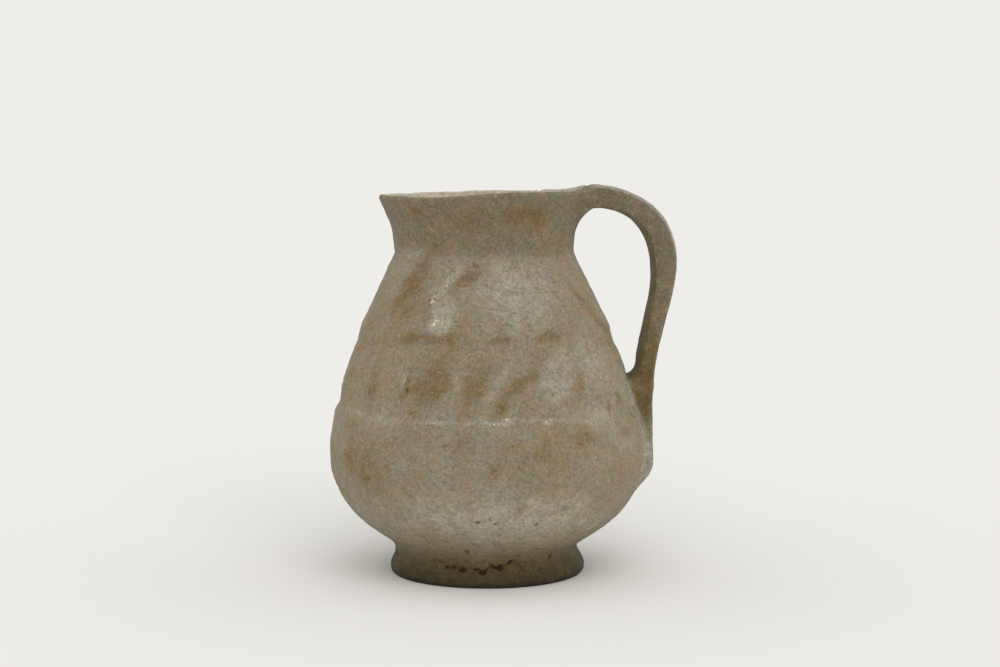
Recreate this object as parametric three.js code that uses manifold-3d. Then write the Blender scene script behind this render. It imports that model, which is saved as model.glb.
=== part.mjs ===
// Fired clay jug: a ring foot, a round belly, a band between two grooves, a cone shoulder,
// a flaring neck and one strap handle. Millimetres, +Z up, the handle on the +X side,
// the origin on the table under the middle of the whole jug, handle included.

import * as THREE from 'three';
import { mergeVertices } from 'three/addons/utils/BufferGeometryUtils.js';
import Module from 'manifold-3d';

const wasm = await Module();
wasm.setup();

// Foot ring. A rise is a height gained, an inset or draw is a radius lost.
const footHeight = 12.1;
const footRadius = 44.4;
const footDraw = 4.8;
const footEdgeInset = 1.4;
const footBulgeHeight = 2.6;
const footRingWidth = 8.6;
const footHollowTaper = 2.5;

// Underside and belly, from the foot up to the lower groove
const undersideRise = 9.6;
const undersideReach = 12.0;
const undersideSweep = 5.8;
const undersideLift = 4.2;
const bellyRise = 31.8;
const bellyRadius = 70.4;
const bellyLead = 8.6;
const bellyLeadRise = 4.6;
const bellyFullness = 14.9;
const bellyEdgeRise = 15.0;
const bellyEdgeInset = 1.8;
const lowerSeamRise = 7.6;
const bellyEdgeRound = 4.6;
const floorThickness = 5.5;
const floorDome = 1.4;

// Band and shoulder. The wall runs on a straight line from the belly's edge to the base of
// the neck, and each swell is how far it stands outside that line.
const lowerSeamSwell = -0.1;
const lowerGrooveRise = 7.6;
const lowerGrooveSwell = 1.6;
const bandRise = 17.7;
const bandSwell = 0.85;
const bandEdgeSwell = 2.2;
const upperSeamRise = 2.9;
const upperSeamSwell = 1.8;
const upperGrooveRise = 5.1;
const upperGrooveSwell = 2.7;
const shoulderRoundRise = 3.5;
const shoulderRoundSwell = 3.0;
const coneStartRise = 4.3;
const coneStartSwell = 2.2;
const coneRise = 20.0;
const coneEndSwell = 0.4;
const neckBaseRise = 6.1;
const neckBaseRadius = 39.9;

// Neck and rim
const waistRise = 9.6;
const flareRise = 7.2;
const flareInset = 3.4;
const rimRise = 9.3;
const rimRadius = 46.3;
const rimThickness = 2.8;

// Clay wall, and the set that the jug took in drying and firing
const wall = 5.0;
const leanAngle = 0.84;
const rimTilt = 0.8;
const handleLift = 2.8;
const handleLiftSpread = 62;

// Handle: a pulled strap, from on top of the rim, out, down and in to the belly
const handleOverhang = 14.4;
const handleReachDrop = 30.6;
const crestRise = 4.3;
const archLead = 29.8;
const archDip = 2.2;
const archRound = 18.0;
const archInnerLead = 7.0;
const archInnerRound = 27.5;
const innerReachDrop = 4.8;
const runStraight = 15.1;
const runInnerStraight = 12.0;
const landingRise = 8.0;
const landingSweep = 14.8;
const landingProud = 0.8;
const landingLean = 1.0;
const innerLandingSweep = 9.0;
const innerLandingLean = 0.6;
const loopBottomRise = 11.2;
const loopBottomRound = 5.6;
const strapThicknessTop = 10.9;
const strapThicknessMid = 9.7;
const strapThicknessLow = 5.3;
const strapWidthTop = 24.0;
const strapWidthMid = 21.0;
const strapWidthLow = 26.0;
const strapCorner = 2.2;
const rootFlare = 8.0;
const rootFlareRun = 8.0;

// Reinforcing clay under the strap, and the tail pressed on the belly
const coilFootRise = 7.6;
const coilFootInset = 0.5;
const coilSag = 5.6;
const coilSagOut = 1.4;
const coilReach = 4.9;
const coilOverlap = 2.7;
const coilDepth = 9.0;
const coilFootWidth = 14.0;
const padThickness = 2.9;
const padTopRise = 12.5;
const padWidth = 32.0;
const padWidestDrop = 1.5;
const padBevelDrop = 7.4;
const padBevelRound = 2.0;
const padEndDrop = 16.4;
const padEndInset = 4.6;
const padEndWidth = 24.0;

// Clearance between clay pieces that meet on a curved face, and how far a piece is first
// made into its neighbour before the neighbour's room is cut from it
const seatGap = 0.3;
const seatDepth = 9.0;

// Fineness of the faceted solids
const turnSteps = 64;
const cornerSteps = 3;
const archSteps = 14;
const runSteps = 9;
const landingSteps = 4;

// Heights of the seams and turns, stacked from the table up
const undersideTurnHeight = footHeight + undersideRise;
const bellyHeight = undersideTurnHeight + bellyRise;
const bellyEdgeHeight = bellyHeight + bellyEdgeRise;
const lowerSeamHeight = bellyEdgeHeight + lowerSeamRise;
const lowerGrooveHeight = lowerSeamHeight + lowerGrooveRise;
const bandEdgeHeight = lowerGrooveHeight + bandRise;
const upperSeamHeight = bandEdgeHeight + upperSeamRise;
const upperGrooveHeight = upperSeamHeight + upperGrooveRise;
const shoulderRoundHeight = upperGrooveHeight + shoulderRoundRise;
const coneStartHeight = shoulderRoundHeight + coneStartRise;
const coneEndHeight = coneStartHeight + coneRise;
const neckBaseHeight = coneEndHeight + neckBaseRise;
const waistHeight = neckBaseHeight + waistRise;
const flareHeight = waistHeight + flareRise;
const rimHeight = flareHeight + rimRise;

// Radii that follow from the ones above
const footWaistRadius = footRadius - footDraw;
const footHollowRadius = footRadius - footRingWidth;
const undersideTurnRadius = footWaistRadius + undersideReach;
const bellyEdgeRadius = bellyRadius - bellyEdgeInset;
const handleReach = bellyRadius + handleOverhang;
const padFace = bellyRadius + padThickness;
const flareRadius = rimRadius - flareInset;

const clay = {
  foot: { color: 0x6f675a, roughness: 0.86 },
  belly: { color: 0x7b7365, roughness: 0.82 },
  band: { color: 0x797063, roughness: 0.8 },
  shoulder: { color: 0x7a7365, roughness: 0.8 },
  neck: { color: 0x766e60, roughness: 0.84 },
  handle: { color: 0x757064, roughness: 0.82 },
  coil: { color: 0x6d6455, roughness: 0.88 },
  pad: { color: 0x78705f, roughness: 0.84 },
};

const at = (radius, height) => new THREE.Vector2(radius, height);

// A point of the upper wall, by its height and its swell outside the straight line.
function onWall(height, swell) {
  const share = (height - bellyEdgeHeight) / (neckBaseHeight - bellyEdgeHeight);
  return at(THREE.MathUtils.lerp(bellyEdgeRadius, neckBaseRadius, share) + swell, height);
}

const lowerSeam = onWall(lowerSeamHeight, lowerSeamSwell);
const lowerGroove = onWall(lowerGrooveHeight, lowerGrooveSwell);
const bandEdge = onWall(bandEdgeHeight, bandEdgeSwell);
const upperSeam = onWall(upperSeamHeight, upperSeamSwell);
const upperGroove = onWall(upperGrooveHeight, upperGrooveSwell);
const shoulderRound = onWall(shoulderRoundHeight, shoulderRoundSwell);
const coneStart = onWall(coneStartHeight, coneStartSwell);
const coneEnd = onWall(coneEndHeight, coneEndSwell);
const neckBase = onWall(neckBaseHeight, 0);
const flare = at(flareRadius, flareHeight);

function straight(from, to) {
  return [from, to];
}

function bent(from, via, to, steps) {
  return new THREE.QuadraticBezierCurve(from, via, to).getPoints(steps);
}

function swung(from, leave, arrive, to, steps) {
  return new THREE.CubicBezierCurve(from, leave, arrive, to).getPoints(steps);
}

// Joins stretches of an outline end to end, leaving out the point where two of them meet.
function joined(...stretches) {
  const points = [...stretches[0]];
  for (const stretch of stretches.slice(1)) {
    points.push(...stretch.slice(1));
  }
  return points;
}

// The same outline one wall further in.
function inside(point) {
  return at(point.x - wall, point.y);
}

// Outer face of each clay section, from its lower seam to its upper one.
function footOutline() {
  const bulge = at(footRadius, footBulgeHeight);
  return joined(
    bent(at(footRadius - footEdgeInset, 0), at(footRadius, 0), bulge, 4),
    bent(bulge, at(footRadius, footHeight / 2), at(footWaistRadius, footHeight), 5),
  );
}

function bellyOutline() {
  const waist = at(footWaistRadius, footHeight);
  const turn = at(undersideTurnRadius, undersideTurnHeight);
  const widest = at(bellyRadius, bellyHeight);
  const edge = at(bellyEdgeRadius, bellyEdgeHeight);
  return joined(
    bent(waist, at(waist.x + undersideSweep, waist.y + undersideLift), turn, 4),
    swung(turn, at(turn.x + bellyLead, turn.y + bellyLeadRise),
      at(bellyRadius, bellyHeight - bellyFullness), widest, 9),
    bent(widest, at(bellyRadius, (bellyHeight + bellyEdgeHeight) / 2), edge, 3),
    bent(edge, at(bellyEdgeRadius, bellyEdgeHeight + bellyEdgeRound), lowerSeam, 4),
  );
}

function bandOutline() {
  const middle = lowerGroove.clone().lerp(bandEdge, 0.5);
  return joined(
    straight(lowerSeam, lowerGroove),
    bent(lowerGroove, at(middle.x + bandSwell, middle.y), bandEdge, 5),
    straight(bandEdge, upperSeam),
  );
}

function shoulderOutline() {
  const coneLine = coneEnd.clone().sub(coneStart).normalize();
  const blend = coneEnd.clone().addScaledVector(coneLine, neckBaseRise / 2);
  return joined(
    straight(upperSeam, upperGroove),
    bent(upperGroove, shoulderRound, coneStart, 3),
    straight(coneStart, coneEnd),
    bent(coneEnd, blend, neckBase, 3),
  );
}

function neckOutline() {
  return joined(
    bent(neckBase, at(neckBaseRadius, waistHeight), flare, 6),
    straight(flare, at(rimRadius, rimHeight - rimThickness / 2)),
  );
}

// Radius of the neck's outer face at a height.
function neckRadius(height) {
  const outline = neckOutline();
  const next = outline.findIndex((point) => point.y > height);
  const below = outline[next - 1];
  const above = outline[next];
  const share = (height - below.y) / (above.y - below.y);
  return THREE.MathUtils.lerp(below.x, above.x, share);
}

// Inner face of each section, also from the bottom up, one wall inside the outer one.
function bellyHollow() {
  const floorTop = footHeight + floorDome + floorThickness;
  const heel = at(undersideTurnRadius - wall / 2, undersideTurnHeight + wall);
  const widest = at(bellyRadius - wall, bellyHeight);
  return joined(
    bent(at(0, floorTop), at(footWaistRadius - wall, floorTop), heel, 5),
    swung(heel, at(heel.x + bellyLead, heel.y + wall), at(widest.x, bellyHeight - bellyFullness / 2),
      widest, 6),
    bent(widest, at(widest.x, bellyEdgeHeight), inside(lowerSeam), 4),
  );
}

function bandHollow() {
  return straight(inside(lowerSeam), inside(upperSeam));
}

function shoulderHollow() {
  const neckStart = inside(neckBase);
  const turn = at(neckStart.x, (coneEndHeight + neckBaseHeight) / 2);
  return joined(
    straight(inside(upperSeam), inside(coneEnd)),
    bent(inside(coneEnd), turn, neckStart, 2),
  );
}

function neckHollow() {
  return joined(
    bent(inside(neckBase), at(neckBaseRadius - wall, waistHeight), inside(flare), 5),
    straight(inside(flare), at(rimRadius - rimThickness, rimHeight - rimThickness / 2)),
  );
}

// Rounded top of the rim, from the outer face over to the inner one.
function rimLip() {
  const lip = rimThickness / 2;
  const points = [];
  for (const turn of [1 / 4, 1 / 2, 3 / 4]) {
    const angle = turn * Math.PI;
    points.push(at(rimRadius - lip + lip * Math.cos(angle), rimHeight - lip + lip * Math.sin(angle)));
  }
  return points;
}

// How far the clay at a height stands back from the foot's axis, away from the handle.
function leanBack(height) {
  return Math.tan(THREE.MathUtils.degToRad(leanAngle)) * Math.max(height - bellyHeight, 0);
}

const footAxisX = (bellyRadius - handleReach + leanBack(rimHeight - handleReachDrop)) / 2;

// How far the neck's clay at a point has risen toward the handle: nothing at the base of
// the neck and all of it at the rim, most of all where the handle pulled the rim up.
function neckRise(x, y, z) {
  const share = THREE.MathUtils.smoothstep(z, neckBaseHeight, rimHeight);
  const turnedAway = Math.abs(THREE.MathUtils.radToDeg(Math.atan2(y, x)));
  const lift = handleLift * (1 - THREE.MathUtils.smoothstep(turnedAway, 0, handleLiftSpread));
  return share * (rimTilt * (x / rimRadius) + lift);
}

// Gives a piece the set of the fired jug: the rim rises toward the handle, the body above
// the belly leans away from it, and the foot stands off the origin to centre the jug.
function asFired(geometry, risesWithRim) {
  const position = geometry.getAttribute('position');
  for (let index = 0; index < position.count; index += 1) {
    const x = position.getX(index);
    const y = position.getY(index);
    const z = position.getZ(index);
    position.setZ(index, z + (risesWithRim ? neckRise(x, y, z) : 0));
    position.setX(index, x + footAxisX - leanBack(z));
  }
  return geometry;
}

// One skin with shared corners and nothing but positions.
function welded(geometry) {
  geometry.deleteAttribute('normal');
  geometry.deleteAttribute('uv');
  return mergeVertices(geometry, 1e-4);
}

function turned(profile) {
  const geometry = new THREE.LatheGeometry(profile, turnSteps);
  geometry.rotateX(Math.PI / 2);
  return asFired(welded(geometry), true);
}

// A thrown section: up its outer face, across, and down its inner face.
function thrown(outer, inner, top = []) {
  return turned([...outer, ...top, ...[...inner].reverse(), outer[0]]);
}

// Skins a run of rings, each a list of points, and closes both ends.
function lofted(rings) {
  const positions = [];
  const triangles = [];
  const count = rings[0].length;
  for (const ring of rings) {
    for (const point of ring) {
      positions.push(point.x, point.y, point.z);
    }
  }
  for (let row = 0; row < rings.length - 1; row += 1) {
    for (let column = 0; column < count; column += 1) {
      const next = (column + 1) % count;
      const here = row * count;
      const there = here + count;
      triangles.push(here + column, there + column, here + next);
      triangles.push(here + next, there + column, there + next);
    }
  }
  for (const row of [0, rings.length - 1]) {
    const middle = new THREE.Vector3();
    rings[row].forEach((point) => middle.addScaledVector(point, 1 / count));
    const centre = positions.length / 3;
    positions.push(middle.x, middle.y, middle.z);
    for (let column = 0; column < count; column += 1) {
      const first = row * count + column;
      const second = row * count + ((column + 1) % count);
      triangles.push(centre, row === 0 ? first : second, row === 0 ? second : first);
    }
  }
  const geometry = new THREE.BufferGeometry();
  geometry.setAttribute('position', new THREE.Float32BufferAttribute(positions, 3));
  geometry.setIndex(triangles);
  return geometry;
}

// Flat section of the strap with rounded corners, between a point on its outer face and the
// one across from it on its inner face. Grow makes it larger all round.
function strapRing(outerPoint, innerPoint, width, grow) {
  const middle = outerPoint.clone().lerp(innerPoint, 0.5);
  const across = outerPoint.clone().sub(innerPoint);
  const halfThickness = across.length() / 2 + grow;
  const halfWidth = width / 2 + grow;
  const corner = strapCorner + grow;
  across.normalize();
  const ring = [];
  for (const quarter of [0, 1, 2, 3]) {
    const outward = quarter === 0 || quarter === 3 ? 1 : -1;
    const sideways = quarter < 2 ? 1 : -1;
    for (let step = 0; step <= cornerSteps; step += 1) {
      const angle = ((quarter + step / cornerSteps) * Math.PI) / 2;
      const out = outward * (halfThickness - corner) + corner * Math.cos(angle);
      const side = sideways * (halfWidth - corner) + corner * Math.sin(angle);
      ring.push(new THREE.Vector3(middle.x + across.x * out, side, middle.y + across.y * out));
    }
  }
  return ring;
}

// A size eased from one value to another, level at both ends.
function eased(from, to, share) {
  return THREE.MathUtils.lerp(from, to, THREE.MathUtils.smoothstep(share, 0, 1));
}

// Where the strap leaves the rim, where its underside leaves the root, where each face is
// furthest out, and where each comes down to the belly.
const crest = at(rimRadius, rimHeight + crestRise);
const rootCornerHeight = crest.y - strapThicknessTop;
const rootCorner = at(neckRadius(rootCornerHeight) + coilReach, rootCornerHeight);
const reach = at(handleReach, rimHeight - handleReachDrop);
const innerReach = at(handleReach - strapThicknessMid, reach.y - innerReachDrop);
const landing = at(padFace + landingProud, lowerSeamHeight + landingRise);
const loopBottom = lowerSeamHeight + loopBottomRise;
const innerLanding = at(padFace - strapThicknessLow, loopBottom + loopBottomRound);
const strapFootHeight = bellyHeight + padTopRise;

// The strap's faces in five stretches: buried in the rim, over the arch, down the run, in
// at the bottom of the loop, and down along the belly.
function strapOuterFace() {
  return [
    straight(at(crest.x - seatDepth, crest.y), crest),
    swung(crest, at(crest.x + archLead, crest.y - archDip), at(reach.x, reach.y + archRound), reach,
      archSteps),
    swung(reach, at(reach.x, reach.y - runStraight),
      at(landing.x - landingLean, landing.y + landingSweep), landing, runSteps),
    bent(landing, at(padFace, landing.y - landingRise / 2), at(padFace, lowerSeamHeight),
      landingSteps),
    straight(at(padFace, lowerSeamHeight), at(padFace, strapFootHeight)),
  ];
}

function strapInnerFace() {
  const hidden = at(lowerSeam.x - seatDepth, loopBottom - landingLean);
  return [
    straight(at(rootCorner.x - seatDepth, rootCorner.y), rootCorner),
    swung(rootCorner, at(rootCorner.x + archInnerLead, rootCorner.y),
      at(innerReach.x, innerReach.y + archInnerRound), innerReach, archSteps),
    swung(innerReach, at(innerReach.x, innerReach.y - runInnerStraight),
      at(innerLanding.x + innerLandingLean, innerLanding.y + innerLandingSweep), innerLanding,
      runSteps),
    bent(innerLanding, at(innerLanding.x - innerLandingLean, loopBottom + seatGap), hidden,
      landingSteps),
    straight(hidden, at(hidden.x, strapFootHeight)),
  ];
}

function strapGeometry(grow) {
  const innerFace = strapInnerFace();
  const widths = [strapWidthTop, strapWidthTop, strapWidthMid, strapWidthLow, strapWidthLow, strapWidthLow];
  const rings = [];
  strapOuterFace().forEach((stretch, part) => {
    stretch.forEach((outerPoint, step) => {
      if (part > 0 && step === 0) {
        return;
      }
      const width = eased(widths[part], widths[part + 1], step / (stretch.length - 1));
      const flared = part < 2 ? eased(rootFlare, 0, (outerPoint.x - rimRadius) / rootFlareRun) : 0;
      rings.push(strapRing(outerPoint, innerFace[part][step], width + flared, grow));
    });
  });
  return asFired(lofted(rings), false);
}

// The tail: flush with the foot of the strap, spread wide on the belly, and bevelled away.
function padGeometry() {
  const hidden = bellyRadius - seatDepth;
  const widestHeight = bellyHeight - padWidestDrop;
  const endHeight = bellyHeight - padEndDrop;
  const bevel = at(padFace, bellyHeight - padBevelDrop);
  const end = at(bellyRadius - padEndInset, endHeight);
  const bevelLine = end.clone().sub(bevel).normalize();
  const faces = joined(
    straight(at(padFace, strapFootHeight), at(padFace, widestHeight)),
    straight(at(padFace, widestHeight), at(padFace, bevel.y + padBevelRound)),
    bent(at(padFace, bevel.y + padBevelRound), bevel,
      bevel.clone().addScaledVector(bevelLine, padBevelRound), 3),
    straight(bevel.clone().addScaledVector(bevelLine, padBevelRound), end),
  );
  const rings = faces.map((face) => {
    const spreading = face.y > widestHeight;
    const share = spreading
      ? (strapFootHeight - face.y) / (strapFootHeight - widestHeight)
      : (widestHeight - face.y) / (widestHeight - endHeight);
    const width = spreading ? eased(strapWidthLow, padWidth, share) : eased(padWidth, padEndWidth, share);
    return strapRing(face, at(hidden, face.y), width, 0);
  });
  return asFired(lofted(rings), false);
}

// Fillet of clay in the corner between the neck and the underside of the strap. Its free
// face leaves the neck, sags a little and meets the strap at the root's corner.
function coilGeometry() {
  const coilFootHeight = neckBaseHeight + coilFootRise;
  const foot = at(neckRadius(coilFootHeight) - coilFootInset, coilFootHeight);
  const freeFace = joined(
    bent(foot, at(foot.x + coilSagOut, foot.y + coilSag), rootCorner, 6),
    straight(rootCorner, at(rootCorner.x + coilOverlap, rootCorner.y + coilOverlap)),
  );
  const rings = freeFace.map((face, step) => {
    const back = at(face.x - coilDepth, face.y + coilDepth / 2);
    return strapRing(face, back, eased(coilFootWidth, strapWidthTop, step / freeFace.length), 0);
  });
  return asFired(lofted(rings.reverse()), false);
}

// Everything inside the jug's outer face, one seat gap proud of it, carried up past the rim:
// the room that no part of the handle may enter.
function bodyRoom() {
  const outer = joined(footOutline(), bellyOutline(), bandOutline(), shoulderOutline(), neckOutline());
  const proud = outer.map((point) => at(point.x + seatGap, point.y));
  const over = rimHeight + 2 * seatDepth;
  return turned([at(0, -seatGap), at(proud[0].x, -seatGap), ...proud,
    at(rimRadius + seatGap, over), at(0, over)]);
}

function toSolid(geometry) {
  return new wasm.Manifold(new wasm.Mesh({
    numProp: 3,
    vertProperties: new Float32Array(geometry.getAttribute('position').array),
    triVerts: new Uint32Array(geometry.getIndex().array),
  }));
}

function toGeometry(solid) {
  const mesh = solid.getMesh();
  const geometry = new THREE.BufferGeometry();
  geometry.setAttribute('position', new THREE.BufferAttribute(mesh.vertProperties, 3));
  geometry.setIndex(new THREE.BufferAttribute(mesh.triVerts, 1));
  return geometry;
}

function footRing() {
  const hollowTop = at(footHollowRadius - footHollowTaper, footHeight);
  return turned([at(footHollowRadius, 0), ...footOutline(), hollowTop, at(footHollowRadius, 0)]);
}

function lowerBody() {
  const seat = at(footHollowRadius - footHollowTaper, footHeight);
  const underside = bent(at(0, footHeight + floorDome), at(seat.x / 2, footHeight + floorDome), seat, 3);
  return turned([...underside, ...bellyOutline(), ...bellyHollow().reverse()]);
}

const jug = new THREE.Group();

function addPiece(name, geometry, finish) {
  geometry.computeVertexNormals();
  const material = new THREE.MeshStandardMaterial({ ...finish, metalness: 0 });
  const mesh = new THREE.Mesh(geometry, material);
  mesh.name = name;
  jug.add(mesh);
}

addPiece('foot_ring', footRing(), clay.foot);
addPiece('lower_body', lowerBody(), clay.belly);
addPiece('middle_body', thrown(bandOutline(), bandHollow()), clay.band);
addPiece('shoulder', thrown(shoulderOutline(), shoulderHollow()), clay.shoulder);
addPiece('neck', thrown(neckOutline(), neckHollow(), rimLip()), clay.neck);

const room = toSolid(bodyRoom());
const strap = toSolid(strapGeometry(0)).subtract(room);
const strapRoom = toSolid(strapGeometry(seatGap));
const coil = toSolid(coilGeometry()).subtract(room).subtract(strapRoom);
const pad = toSolid(padGeometry()).subtract(room);

addPiece('handle_strap', toGeometry(strap), clay.handle);
addPiece('handle_root_coil', toGeometry(coil), clay.coil);
addPiece('handle_lower_pad', toGeometry(pad), clay.pad);

export default jug;
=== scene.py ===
import math

import bpy
import numpy as np
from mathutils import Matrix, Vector, noise


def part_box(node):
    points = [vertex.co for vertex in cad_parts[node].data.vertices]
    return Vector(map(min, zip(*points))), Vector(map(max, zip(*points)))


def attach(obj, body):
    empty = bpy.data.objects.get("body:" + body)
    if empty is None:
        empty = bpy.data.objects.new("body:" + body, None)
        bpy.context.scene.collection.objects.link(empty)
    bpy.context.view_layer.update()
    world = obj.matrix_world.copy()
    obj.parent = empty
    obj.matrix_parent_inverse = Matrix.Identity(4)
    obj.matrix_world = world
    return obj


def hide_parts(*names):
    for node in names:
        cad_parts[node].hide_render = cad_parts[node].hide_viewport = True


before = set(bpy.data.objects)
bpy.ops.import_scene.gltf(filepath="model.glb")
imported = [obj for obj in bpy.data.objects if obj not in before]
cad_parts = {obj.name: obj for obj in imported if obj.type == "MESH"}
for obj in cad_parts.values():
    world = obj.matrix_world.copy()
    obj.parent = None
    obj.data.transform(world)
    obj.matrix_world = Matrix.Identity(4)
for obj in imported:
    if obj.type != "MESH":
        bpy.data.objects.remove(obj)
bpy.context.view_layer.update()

# The camera
# The photograph looks at the jug from the front with the handle on the right, turned a
# little away, through a long lens from just above the rim.
MM = 0.001
foot_low, foot_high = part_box("foot_ring")
axis_x = (foot_low[0] + foot_high[0]) / 2
camera_distance = 0.939
camera_height = 0.1916
camera_side = 0.00569
camera_pitch = math.radians(5.16)
handle_turned_away = math.radians(2.0)

camera_data = bpy.data.cameras.new("photo_camera")
camera_data.lens = 75.96
camera_data.sensor_width = 36.0
camera = bpy.data.objects.new("photo_camera", camera_data)
bpy.context.scene.collection.objects.link(camera)
cos_away = math.cos(handle_turned_away)
sin_away = math.sin(handle_turned_away)
camera.location = (
    axis_x + camera_side * cos_away - camera_distance * sin_away,
    -camera_side * sin_away - camera_distance * cos_away,
    camera_height,
)
camera.rotation_euler = (math.pi / 2 - camera_pitch, 0.0, -handle_turned_away)
bpy.context.scene.camera = camera

# The foot ring
# A low turned ring of the same clay, hollow underneath, with a rounded outer edge that
# rubs on the table. It is luted under the bowl, and soil has stayed in its cavities.


def bent(start, via, end, steps):
    """Points on a quadratic curve, start and end included."""
    share = np.linspace(0.0, 1.0, steps + 1)[:, None]
    start, via, end = np.array(start), np.array(via), np.array(end)
    return (1 - share) ** 2 * start + 2 * share * (1 - share) * via + share ** 2 * end


def swung(start, leave, arrive, end, steps):
    """Points on a cubic curve, start and end included."""
    share = np.linspace(0.0, 1.0, steps + 1)[:, None]
    start, leave, arrive, end = (np.array(point) for point in (start, leave, arrive, end))
    return ((1 - share) ** 3 * start + 3 * share * (1 - share) ** 2 * leave
            + 3 * share ** 2 * (1 - share) * arrive + share ** 3 * end)


def ruled(start, end, steps):
    """Points on a straight line, start and end included."""
    return np.linspace(start, end, steps + 1)


def joined(*stretches):
    """One outline from stretches that meet end to end."""
    return np.vstack([stretches[0]] + [stretch[1:] for stretch in stretches[1:]])


def smooth(value, low, high):
    """A share that eases from 0 at the low value to 1 at the high one."""
    share = np.clip((value - low) / (high - low), 0.0, 1.0)
    return share * share * (3 - 2 * share)


def tone(red, green, blue):
    """A colour written as it is seen, 0 to 255, turned into the shader's linear one."""
    linear = []
    for value in (red, green, blue):
        share = value / 255.0
        linear.append(share / 12.92 if share <= 0.04045 else ((share + 0.055) / 1.055) ** 2.4)
    return (*linear, 1.0)


class Shading:
    """Short hand for wiring one clay material."""

    def __init__(self, name):
        self.material = bpy.data.materials.new(name)
        self.material.use_nodes = True
        self.tree = self.material.node_tree
        self.shader = self.tree.nodes["Principled BSDF"]
        self.where = self.tree.nodes.new("ShaderNodeTexCoord").outputs["Object"]

    def link(self, source, socket):
        if isinstance(source, bpy.types.NodeSocket):
            self.tree.links.new(source, socket)
        else:
            socket.default_value = source

    def math(self, operation, first, second=0.0, third=0.0, clamp=False):
        node = self.tree.nodes.new("ShaderNodeMath")
        node.operation = operation
        node.use_clamp = clamp
        for socket, value in zip(node.inputs, (first, second, third)):
            self.link(value, socket)
        return node.outputs[0]

    def noise(self, scale, detail=4.0, rough=0.55, distort=0.0, where=None):
        node = self.tree.nodes.new("ShaderNodeTexNoise")
        self.link(where or self.where, node.inputs["Vector"])
        node.inputs["Scale"].default_value = scale
        node.inputs["Detail"].default_value = detail
        node.inputs["Roughness"].default_value = rough
        node.inputs["Distortion"].default_value = distort
        return node.outputs["Fac"]

    def stretched(self, scale, turn=(0.0, 0.0, 0.0)):
        node = self.tree.nodes.new("ShaderNodeMapping")
        self.link(self.where, node.inputs["Vector"])
        node.inputs["Scale"].default_value = scale
        node.inputs["Rotation"].default_value = turn
        return node.outputs[0]

    def between(self, value, low, high):
        node = self.tree.nodes.new("ShaderNodeMapRange")
        node.interpolation_type = "SMOOTHSTEP"
        self.link(value, node.inputs["Value"])
        node.inputs["From Min"].default_value = low
        node.inputs["From Max"].default_value = high
        return node.outputs[0]

    def mix(self, share, first, second, blend="MIX"):
        node = self.tree.nodes.new("ShaderNodeMix")
        node.data_type = "RGBA"
        node.blend_type = blend
        self.link(share, node.inputs[0])
        self.link(first, node.inputs[6])
        self.link(second, node.inputs[7])
        return node.outputs[2]

    def dots(self, scale, reach):
        node = self.tree.nodes.new("ShaderNodeTexVoronoi")
        self.link(self.where, node.inputs["Vector"])
        node.inputs["Scale"].default_value = scale
        return self.between(node.outputs["Distance"], reach, reach * 0.5)

    def marks(self):
        node = self.tree.nodes.new("ShaderNodeAttribute")
        node.attribute_name = "marks"
        split = self.tree.nodes.new("ShaderNodeSeparateColor")
        self.tree.links.new(node.outputs["Color"], split.inputs[0])
        return (*split.outputs[:3], node.outputs["Alpha"])

    def bump(self, height, distance, strength=1.0, under=None):
        node = self.tree.nodes.new("ShaderNodeBump")
        node.inputs["Strength"].default_value = strength
        node.inputs["Distance"].default_value = distance
        self.link(height, node.inputs["Height"])
        if under is not None:
            self.link(under, node.inputs["Normal"])
        return node.outputs[0]

    def crack(self, run, width=0.35 * MM):
        """A hair crack on the front, through places given across and up in millimetres."""
        place = self.tree.nodes.new("ShaderNodeSeparateXYZ")
        self.link(self.where, place.inputs[0])
        across, depth, up = place.outputs
        heights = [height for _, height in run]
        left, right, low, high = run[0][0], run[-1][0], min(heights), max(heights)
        share = self.math("DIVIDE", self.math("SUBTRACT", across, left * MM), (right - left) * MM)
        course = self.tree.nodes.new("ShaderNodeFloatCurve")
        points = course.mapping.curves[0].points
        points[0].location = (0.0, (heights[0] - low) / (high - low))
        points[1].location = (1.0, (heights[-1] - low) / (high - low))
        for step, height in run[1:-1]:
            points.new((step - left) / (right - left), (height - low) / (high - low))
        course.mapping.update()
        self.link(share, course.inputs["Value"])
        wander = self.math("MULTIPLY_ADD", self.noise(150.0, 3.0, 0.7), 1.6 * MM, low * MM - 0.8 * MM)
        line = self.math("MULTIPLY_ADD", course.outputs[0], (high - low) * MM, wander)
        near = self.between(self.math("ABSOLUTE", self.math("SUBTRACT", up, line)), width, 0.0)
        ends = self.math("MULTIPLY", self.between(share, 0.0, 0.08), self.between(share, 1.0, 0.92))
        return self.math("MULTIPLY", self.math("MULTIPLY", near, ends), self.math("LESS_THAN", depth, 0.0))


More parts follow.
